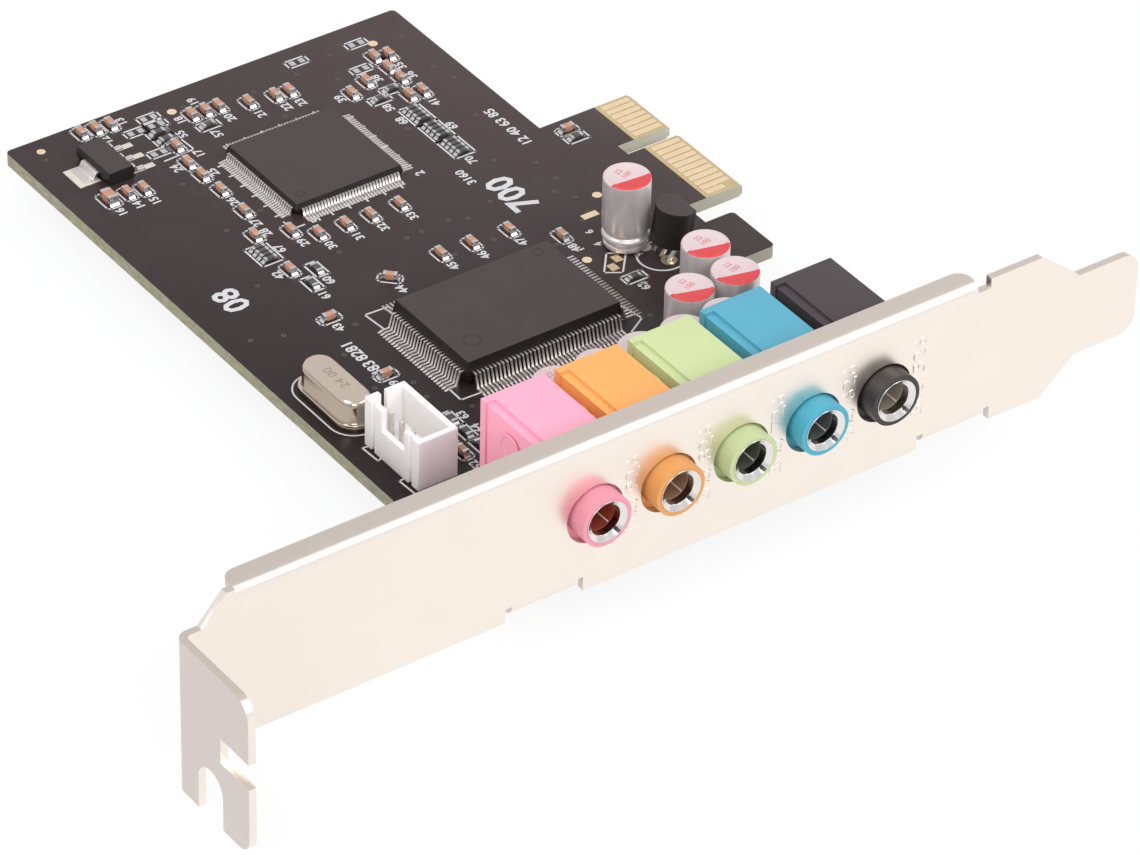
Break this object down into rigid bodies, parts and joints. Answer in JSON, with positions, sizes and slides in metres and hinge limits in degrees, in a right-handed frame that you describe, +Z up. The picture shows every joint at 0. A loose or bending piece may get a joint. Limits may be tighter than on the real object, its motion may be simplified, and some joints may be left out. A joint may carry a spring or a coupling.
{
  "type": "sound card",
  "caption": "Slim computer sound card: a board with chips and capacitors on a folded slot bracket with a row of coloured audio jacks.",
  "frame": {"origin": "middle of the part's box, on the level of its lowest point, the foot of the bracket's ear", "axes": "+X along the bracket from its ear to its tongue, +Y from the bracket along the board, +Z up from the solder side to the component side"},
  "size_m": [0.12, 0.1084, 0.0221],
  "materials": {
    "board_mask": "dark solder mask over glass fibre, satin gloss",
    "contact_gold": "thin gold plating, soft shine",
    "bracket_nickel": "nickel-plated sheet steel, satin",
    "screw_steel": "zinc-plated steel",
    "pink_plastic": "moulded plastic, satin",
    "orange_plastic": "moulded plastic, satin",
    "green_plastic": "moulded plastic, satin",
    "blue_plastic": "moulded plastic, satin",
    "black_plastic": "moulded plastic, satin",
    "sleeve_nickel": "bright nickel plating",
    "spring_bronze": "tin-plated phosphor bronze strip",
    "package_epoxy": "moulded epoxy, matt",
    "lead_tin": "tin-plated lead frame",
    "crystal_nickel": "drawn nickel can",
    "crystal_glass": "dark base plate",
    "header_nylon": "milky nylon",
    "can_aluminium": "drawn aluminium, satin",
    "chip_ceramic": "brown ceramic between tinned ends",
    "resistor_ceramic": "dark film on white ceramic between tinned ends"
  },
  "bodies": {
    "root": {"circuit_board": "board_mask", "edge_contacts": "contact_gold", "bracket": "bracket_nickel", "bracket_screws": "screw_steel", "audio_controller_body": "package_epoxy", "audio_controller_leads": "lead_tin", "bridge_chip_body": "package_epoxy", "bridge_chip_leads": "lead_tin", "regulator_body": "package_epoxy", "regulator_leads": "lead_tin", "crystal_can": "crystal_nickel", "crystal_base": "crystal_glass", "crystal_leads": "lead_tin", "header_housing": "header_nylon", "header_pins": "lead_tin", "transistor_body": "package_epoxy", "transistor_leads": "lead_tin", "capacitor_leads": "lead_tin", "regulator_capacitors": "chip_ceramic", "bridge_capacitors": "chip_ceramic", "bridge_resistors": "resistor_ceramic", "audio_capacitors": "chip_ceramic", "audio_resistors": "resistor_ceramic", "connector_capacitor": "chip_ceramic", "connector_resistor": "resistor_ceramic", "resistor_arrays": "resistor_ceramic", "pink_jack_housing": "pink_plastic", "pink_jack_sleeve": "sleeve_nickel", "pink_jack_contacts": "spring_bronze", "orange_jack_housing": "orange_plastic", "orange_jack_sleeve": "sleeve_nickel", "orange_jack_contacts": "spring_bronze", "green_jack_housing": "green_plastic", "green_jack_sleeve": "sleeve_nickel", "green_jack_contacts": "spring_bronze", "blue_jack_housing": "blue_plastic", "blue_jack_sleeve": "sleeve_nickel", "blue_jack_contacts": "spring_bronze", "black_jack_housing": "black_plastic", "black_jack_sleeve": "sleeve_nickel", "black_jack_contacts": "spring_bronze", "capacitor_1": "can_aluminium", "capacitor_2": "can_aluminium", "capacitor_3": "can_aluminium", "capacitor_4": "can_aluminium", "capacitor_5": "can_aluminium", "capacitor_6": "can_aluminium", "capacitor_7": "can_aluminium", "capacitor_8": "can_aluminium", "capacitor_9": "can_aluminium"}
  },
  "joints": []
}
